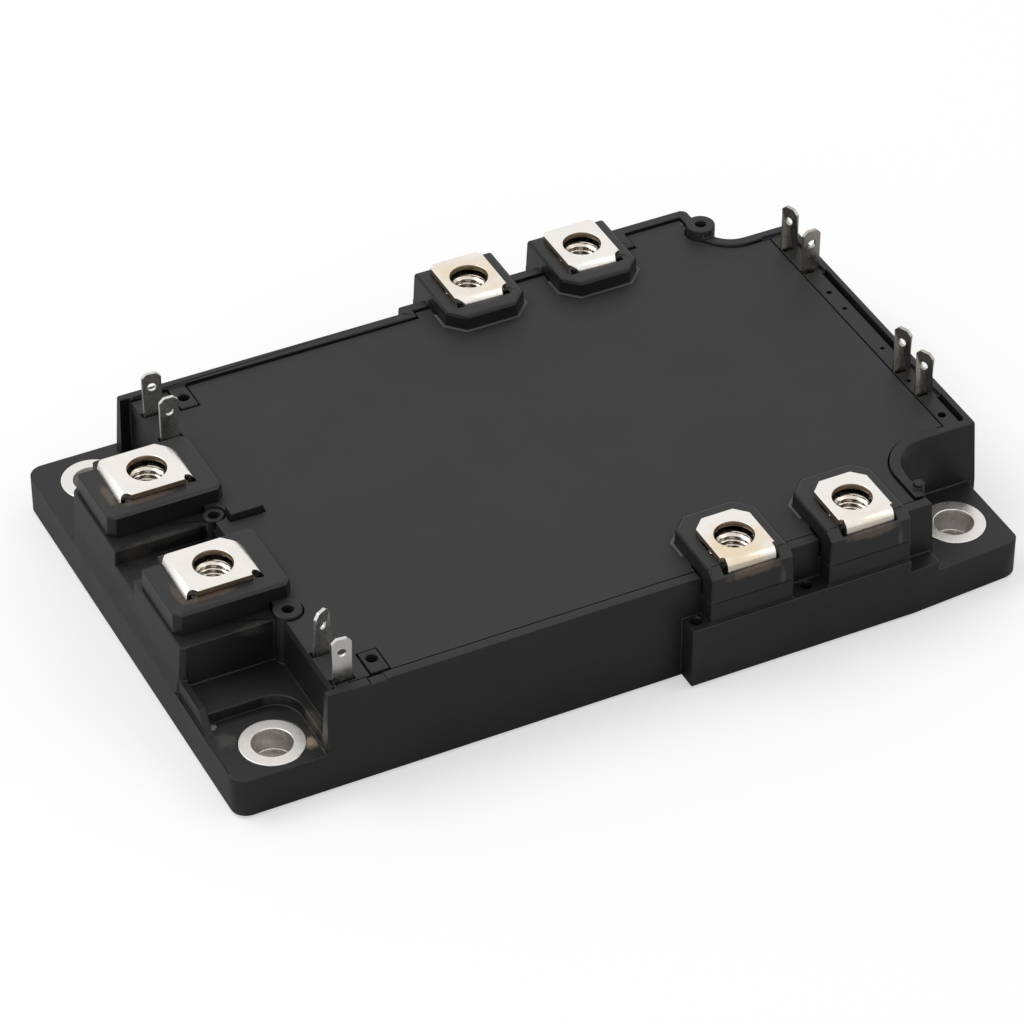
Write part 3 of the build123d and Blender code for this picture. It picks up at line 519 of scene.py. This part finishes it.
def threaded_nut(node, x, y):
    """A hex nut whose bore carries a real helical thread."""
    node_low, node_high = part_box(node)
    turned = 0 if node_high[0] - node_low[0] > node_high[1] - node_low[1] else 30
    form = bmesh.new()
    steps = int(round((NUT_TOP - NUT_BOTTOM) / THREAD_PITCH * ROWS_PER_TURN))
    rings = []
    for row in range(steps + 1):
        z = NUT_TOP - (NUT_TOP - NUT_BOTTOM) * row / steps
        rings.append([(thread_radius(z, k / AROUND), z) for k in range(AROUND)])
    hexagon = []
    for k in range(AROUND):
        angle = (k / AROUND * 360 + turned) % 60 - 30
        hexagon.append(NUT_HALF / math.cos(math.radians(angle)))
    rings.append([(r, NUT_BOTTOM) for r in hexagon])
    rings.append([(r, NUT_TOP - NUT_CHAMFER) for r in hexagon])
    rings.append([(min(r, NUT_HALF - NUT_CHAMFER_IN), NUT_TOP) for r in hexagon])
    verts = []
    for ring in rings:
        line = []
        for k, (radius, z) in enumerate(ring):
            a = 2 * math.pi * k / AROUND
            place = (x + radius * math.cos(a), y + radius * math.sin(a), z)
            line.append(form.verts.new(Vector(place) * MM))
        verts.append(line)
    for i in range(len(verts)):
        upper, lower = verts[i], verts[(i + 1) % len(verts)]
        for k in range(AROUND):
            j = (k + 1) % AROUND
            form.faces.new((upper[k], upper[j], lower[j], lower[k]))
    mesh = from_form(node + "_thread", form)
    mesh.shade_smooth()
    mesh.set_sharp_from_angle(angle=math.radians(THREAD_SHARP_ANGLE))
    piece = new_piece(node + "_thread", mesh)
    dress(piece, "nut_steel", node)


# World, lamps and floor: metres and watts
SKY_LIGHT = 0.55
SKY_SEEN = 1.0
LAMP_AIM = (0, 0, 0.01)
FLOOR_HALF = 6.0
FLOOR_COLOUR = (0.66, 0.66, 0.66)
FLOOR_GLOW = (0.48, 0.48, 0.48)


def world():
    """A white room, brighter where it is seen or mirrored than where it lights."""
    studio = bpy.data.worlds.new("studio")
    bpy.context.scene.world = studio
    studio.use_nodes = True
    tree = studio.node_tree
    back = tree.nodes["Background"]
    path = tree.nodes.new("ShaderNodeLightPath")
    seen = path.outputs["Is Camera Ray"]
    for ray in ("Is Glossy Ray", "Is Transmission Ray"):
        either = tree.nodes.new("ShaderNodeMath")
        either.operation = "MAXIMUM"
        tree.links.new(seen, either.inputs[0])
        tree.links.new(path.outputs[ray], either.inputs[1])
        seen = either.outputs[0]
    level = tree.nodes.new("ShaderNodeMapRange")
    level.inputs["To Min"].default_value = SKY_LIGHT
    level.inputs["To Max"].default_value = SKY_SEEN
    tree.links.new(seen, level.inputs["Value"])
    tree.links.new(level.outputs["Result"], back.inputs["Strength"])
    back.inputs["Color"].default_value = (1, 1, 1, 1)


def lamp(name, place, power, size):
    """A round lamp that points at the part."""
    data = bpy.data.lights.new(name, "AREA")
    data.shape = "DISK"
    data.size = size
    data.energy = power
    light = bpy.data.objects.new(name, data)
    light.location = place
    light.rotation_euler = (Vector(LAMP_AIM) - Vector(place)).to_track_quat("-Z", "Y").to_euler()
    bpy.context.scene.collection.objects.link(light)


def floor():
    """The pale sheet under the part, which looks evenly bright to the camera."""
    mesh = bpy.data.meshes.new("floor")
    r = FLOOR_HALF
    mesh.from_pydata([(-r, -r, 0), (r, -r, 0), (r, r, 0), (-r, r, 0)], [], [(0, 1, 2, 3)])
    s = Shader("floor")
    s.set(Base_Color=FLOOR_COLOUR, Roughness=0.9, Specular_IOR_Level=0.0)
    s.set(Emission_Color=FLOOR_GLOW, Emission_Strength=s.add("ShaderNodeLightPath").outputs["Is Camera Ray"])
    mesh.materials.append(s.material)
    new_piece("floor", mesh)


camera()
world()
lamp("key", (-0.5, 0.35, 0.95), 3.4, 0.7)
lamp("fill", (0.7, -0.5, 0.8), 1.0, 0.8)
floor()
bpy.context.scene.view_settings.view_transform = "Standard"

# Widths of the rounded edges
MOULDED_EDGE = 0.2
CAP_EDGE = 0.3
FINE_EDGE = 0.12
TAB_EDGE = 0.08
FOOT_LINE_EDGE = 0.04

# Housing: the nub beside the front right recess, its place, bottom, top and radius
NUB = (44.5, -32.6, 13, 16.75, 0.8)

# Housing: the back left corner's chamfer, the front rim's step and groove, and two channels on the right
HOUSING_CUTS = [
    prism([(-59.5, 38.9), (-57.1, 40.5), (-59.5, 40.5)], 0, 7),
    block(-42, 44.5, -37.5, -34.85, 15.95, 17),
    block(-42, 44.5, -35.05, -34.7, 15.3, 16.5),
    block(57.0, 57.7, -4.1, 16.4, 13.4, 18),
    block(57.0, 57.6, -22.3, -16.3, 13.4, 18),
]

# Housing: the pits in the right strip, each with its place, bottom, top, radius and sides, and the slots
# beside the right tabs
PITS = [
    (55.6, 11.8, 14.8, 18, 0.42, 10), (55.7, 7.5, 14.8, 18, 0.36, 8), (55.8, -3.1, 14.8, 18, 0.34, 8),
    (55.3, -11.3, 14.8, 18, 0.34, 8), (55.5, -20.1, 13.6, 18, 0.62, 12),
]
RIGHT_TAB_Y = (-14.4, -8.4, 17.9, 24.1)
STRIP_CUTS = [drum(*pit) for pit in PITS]
STRIP_CUTS += [block(54.6, 56.2, y - 0.8, y, 14.6, 18) for y in RIGHT_TAB_Y]

# Front right flange corner: where its taper starts, how long and deep it is, and how far it moves the edge
TAPER_X = 40.5
TAPER_Y = -37
TAPER_LENGTH = 16.5
TAPER_DEPTH = 2.9
TAPER_SHIFT = 1.1


def skew_corner(mesh):
    """The front right flange corner stands a little further in than the CAD's."""
    sliced(mesh, (TAPER_X, 0, 0), (1, 0, 0))
    for vert in mesh.vertices:
        x, y = vert.co.x / MM, vert.co.y / MM
        if x > TAPER_X and y < TAPER_Y:
            along = min(1, (x - TAPER_X) / TAPER_LENGTH)
            vert.co.y += TAPER_SHIFT * MM * along * min(1, (TAPER_Y - y) / TAPER_DEPTH)


# Housing: the CAD blocks joined into the one moulding they are
blocks = [node for node in slots if slots[node] == "housing_black"]
housing = new_piece("housing", welded(blocks[0]))
combined(housing, [welded(node) for node in blocks[1:]], "UNION")
combined(housing, [drum(*NUB)], "UNION")
combined(housing, HOUSING_CUTS, "DIFFERENCE")
merge_flat(housing.data)
skew_corner(housing.data)
round_edges(housing, MOULDED_EDGE)
combined(housing, STRIP_CUTS, "DIFFERENCE")
dress(housing, "housing_black", *blocks)

# Power terminals: the middles of their screw holes
TERMINALS = {
    "left_1": (-49.2, 13.9), "left_2": (-49.2, -8.6),
    "back_1": (9.1, 34.2), "back_2": (27.2, 34.2),
    "front_1": (15.3, -33.8), "front_2": (33.3, -33.8),
}

# The sheared edges of a plate: heights and how far they lie from its middle
CUT_EDGE_LOW = 18.25
CUT_EDGE_HIGH = 19.06
CUT_EDGE_REACH = 4.2

# Cuts in the plates: bottom and top, and the bottom of a scoop that leaves the bend whole below it
PLATE_CUT_LOW = 15
PLATE_CUT_HIGH = 20
SCOOP_LOW = 17.2

# Fillings of the nut pockets: their near and far ends, half their width, and their bottom and top
POCKET_IN = 4.05
POCKET_OUT = 5.2
POCKET_HALF = 1.5
POCKET_LOW = 13
POCKET_HIGH = 18.2


def plate_cuts(key, x, y):
    """The relief notches beside a terminal's bends."""
    span = (PLATE_CUT_LOW, PLATE_CUT_HIGH)
    if key.startswith("left"):
        return [
            drum(x - 4.9, y - 4.5, SCOOP_LOW, PLATE_CUT_HIGH, 0.75),
            drum(x + 4.5, y - 4.3, SCOOP_LOW, PLATE_CUT_HIGH, 0.75),
            drum(x + 5.3, y - 4.5, *span, 0.8),
        ]
    if key.startswith("front"):
        return [
            block(x - 4.2, x - 3.55, y - 5.4, y - 4.0, *span),
            block(x + 3.75, x + 4.2, y - 5.4, y - 4.0, *span),
            drum(x - 3.9, y - 4.0, *span, 0.4),
            drum(x + 4.0, y - 3.9, *span, 0.3),
        ]
    corner = [(x - 4.7, y - 3.3), (x - 6, y - 3.3), (x - 6, y - 8), (x - 2.4, y - 8), (x - 2.5, y - 5.3)]
    return [prism(corner, *span), drum(x + 4.0, y - 4.8, *span, 0.95)]


def pocket_fills(key, x, y):
    """Plastic over the corners of the nut's pocket, which the plate doesn't reach."""
    fills = []
    for near, far in ((-POCKET_OUT, -POCKET_IN), (POCKET_IN, POCKET_OUT)):
        across, along = (-POCKET_HALF, POCKET_HALF), (near, far)
        if not key.startswith("left"):
            across, along = along, across
        spans = (x + across[0], x + across[1], y + along[0], y + along[1])
        fills.append(block(*spans, POCKET_LOW, POCKET_HIGH))
    return fills


# The foot line of a cap: its outline about the screw hole, and its bottom and top
FOOT_OUTER = [(-6.65, 2.3), (-6.65, 5.55), (-4.15, 8.05), (4.15, 8.05), (6.65, 5.55), (6.65, 2.3)]
FOOT_INNER = [(6.25, 2.3), (6.25, 5.3), (3.9, 7.65), (-3.9, 7.65), (-6.25, 5.3), (-6.25, 2.3)]
FOOT_LOW = 15.8
FOOT_HIGH = 15.93


def foot_line(key, x, y):
    """The fine raised line where a cap meets the lid, in a lighter grey that is partly dust and partly a
    painted highlight.
    """
    side = -1 if key.startswith("back") else 1
    path = [(x + u, y + side * v) for u, v in FOOT_OUTER + FOOT_INNER]
    piece = new_piece("cap_%s_foot" % key, prism(path, FOOT_LOW, FOOT_HIGH))
    round_edges(piece, FOOT_LINE_EDGE)
    dress(piece, "cap_black")
    # The foot line's lighter grey is partly dust and partly a painted highlight
    piece.data.materials[0] = foot_dust_and_highlight


# Tabs: the height where a twist starts, and the height from which a blade is turned
TWIST_LOW = 16.0
TWIST_HIGH = 16.05


def turn_blade(piece, x, y, degrees):
    """The upper part of a tab twisted about its own middle."""
    sliced(piece.data, (0, 0, TWIST_LOW), (0, 0, 1))
    for vert in piece.data.vertices:
        if vert.co.z > TWIST_HIGH * MM:
            away = Vector((vert.co.x - x * MM, vert.co.y - y * MM))
            away.rotate(Matrix.Rotation(math.radians(degrees), 2))
            vert.co.x, vert.co.y = x * MM + away.x, y * MM + away.y


def tone_cut_edges(piece, key, x, y):
    """The sheared edges and the hole's wall take the tone of the bare metal."""
    piece.data.materials.append(cut_edge)
    for face in piece.data.polygons:
        place = face.center / MM
        away = abs(place.x - x) if key.startswith("left") else abs(place.y - y)
        upright = abs(face.normal.z) < 0.5
        if upright and CUT_EDGE_LOW < place.z < CUT_EDGE_HIGH and away < CUT_EDGE_REACH:
            face.material_index = 1


# Baseplate
base = new_piece("baseplate_dressed", welded("baseplate"))
merge_flat(base.data)
skew_corner(base.data)
round_edges(base, MOULDED_EDGE)
dress(base, "nickel", "baseplate")

# Terminals, their nuts and their caps
for key, (x, y) in TERMINALS.items():
    plate = bevelled("terminal_" + key, "nickel", FINE_EDGE, plate_cuts(key, x, y))
    tone_cut_edges(plate, key, x, y)
    threaded_nut("nut_" + key, x, y)
    cap_edge = FINE_EDGE if key.startswith("left") else CAP_EDGE
    bevelled("cap_" + key, "cap_black", cap_edge, fills=pocket_fills(key, x, y))
    if not key.startswith("left"):
        foot_line(key, x, y)

# Twisted tabs: the middle of each blade and its turn in degrees
TURNED = {
    "tab_left_1": (-42.2, -34.0, -6), "tab_left_2": (-42.2, -27.9, 28), "tab_left_4": (-42.2, 28.7, -8),
    "tab_right_1": (55.8, -14.4, -64), "tab_right_2": (55.8, -8.4, -66), "tab_right_4": (55.8, 24.1, -70),
}

# Rings and tabs get rounded edges; the pieces inside, and the lid, keep the CAD's form
widths = {"ring_metal": FINE_EDGE, "tab_tin": TAB_EDGE}
for node, slot in slots.items():
    if slot in widths:
        piece = bevelled(node, slot, widths[slot])
        if node in TURNED:
            turn_blade(piece, *TURNED[node])
        if node.startswith("tab_right"):
            piece.data.materials[0] = dull_tab
    elif slot not in ("housing_black", "nut_steel", "cap_black", "nickel"):
        nodes[node].data.materials.clear()
        nodes[node].data.materials.append(looks[slot])
